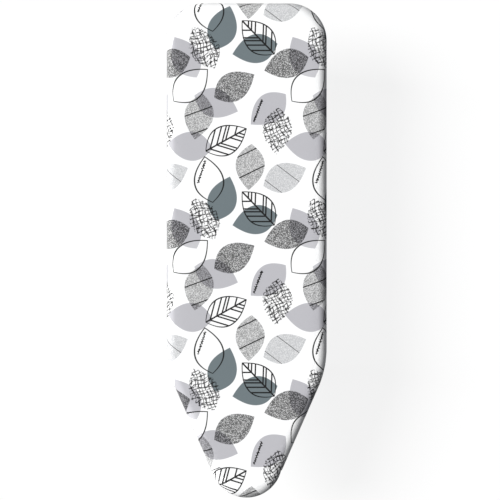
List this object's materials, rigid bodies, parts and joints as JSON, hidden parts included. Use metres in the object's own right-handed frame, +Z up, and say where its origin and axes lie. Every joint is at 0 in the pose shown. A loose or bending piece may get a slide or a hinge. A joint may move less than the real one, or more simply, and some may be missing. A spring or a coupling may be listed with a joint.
{
  "type": "sleeve ironing board",
  "caption": "Tabletop sleeve ironing board: leaf-print padded cover on a perforated steel board with a tapered nose, two folding tube legs and a hanging bail.",
  "frame": {"origin": "on the table, under the middle of the board's length and width, legs open", "axes": "+Y along the board towards the square heel, nose at -Y; +Z up, out of the ironing surface; +X across"},
  "size_m": [0.194, 0.6001, 0.15],
  "materials": {
    "printed_cotton": "white cotton with a grey leaf print",
    "binding_tape": "gathered cotton tape over elastic",
    "foam": "open-cell foam",
    "felt": "needled felt",
    "powder_coat": "pale grey powder coat",
    "zinc_steel": "bright zinc plate",
    "grey_rubber": "matt moulded rubber",
    "grey_plastic": "moulded nylon"
  },
  "bodies": {
    "board": {"cover": "printed_cotton", "elastic_binding": "binding_tape", "foam_pad": "foam", "felt_underlay": "felt", "perforated_sheet": "powder_coat", "nose_frame_tube": "powder_coat", "heel_frame_tube": "powder_coat", "nose_rail": "powder_coat", "front_rail": "powder_coat", "middle_rail": "powder_coat", "rear_rail": "powder_coat", "heel_rail": "powder_coat", "storage_clip": "grey_plastic", "clip_rivet": "zinc_steel", "left_bail_clip": "zinc_steel", "right_bail_clip": "zinc_steel", "left_bail_rivet": "zinc_steel", "right_bail_rivet": "zinc_steel", "front_left_hinge_bracket": "powder_coat", "front_left_pivot_pin": "zinc_steel", "front_left_inner_rivet": "zinc_steel", "front_left_outer_rivet": "zinc_steel", "front_right_hinge_bracket": "powder_coat", "front_right_pivot_pin": "zinc_steel", "front_right_inner_rivet": "zinc_steel", "front_right_outer_rivet": "zinc_steel", "rear_left_hinge_bracket": "powder_coat", "rear_left_pivot_pin": "zinc_steel", "rear_left_inner_rivet": "zinc_steel", "rear_left_outer_rivet": "zinc_steel", "rear_right_hinge_bracket": "powder_coat", "rear_right_pivot_pin": "zinc_steel", "rear_right_inner_rivet": "zinc_steel", "rear_right_outer_rivet": "zinc_steel"},
    "front_leg": {"front_leg_tube": "powder_coat", "front_left_foot": "grey_rubber", "front_right_foot": "grey_rubber"},
    "rear_leg": {"rear_leg_tube": "powder_coat", "rear_left_foot": "grey_rubber", "rear_right_foot": "grey_rubber"},
    "hanging_bail": {"hanging_bail": "zinc_steel"}
  },
  "joints": [
    {"name": "front_leg_fold", "type": "hinge", "parent": "board", "child": "front_leg", "pos_m": [0, -0.11475, 0.132], "axis": [1, 0, 0], "range_deg": [0, 105]},
    {"name": "rear_leg_fold", "type": "hinge", "parent": "board", "child": "rear_leg", "pos_m": [0, 0.195, 0.132], "axis": [-1, 0, 0], "range_deg": [0, 105]},
    {"name": "hanging_bail_swing", "type": "hinge", "parent": "board", "child": "hanging_bail", "pos_m": [0, 0.25845, 0.1245], "axis": [1, 0, 0], "range_deg": [0, 175]}
  ]
}
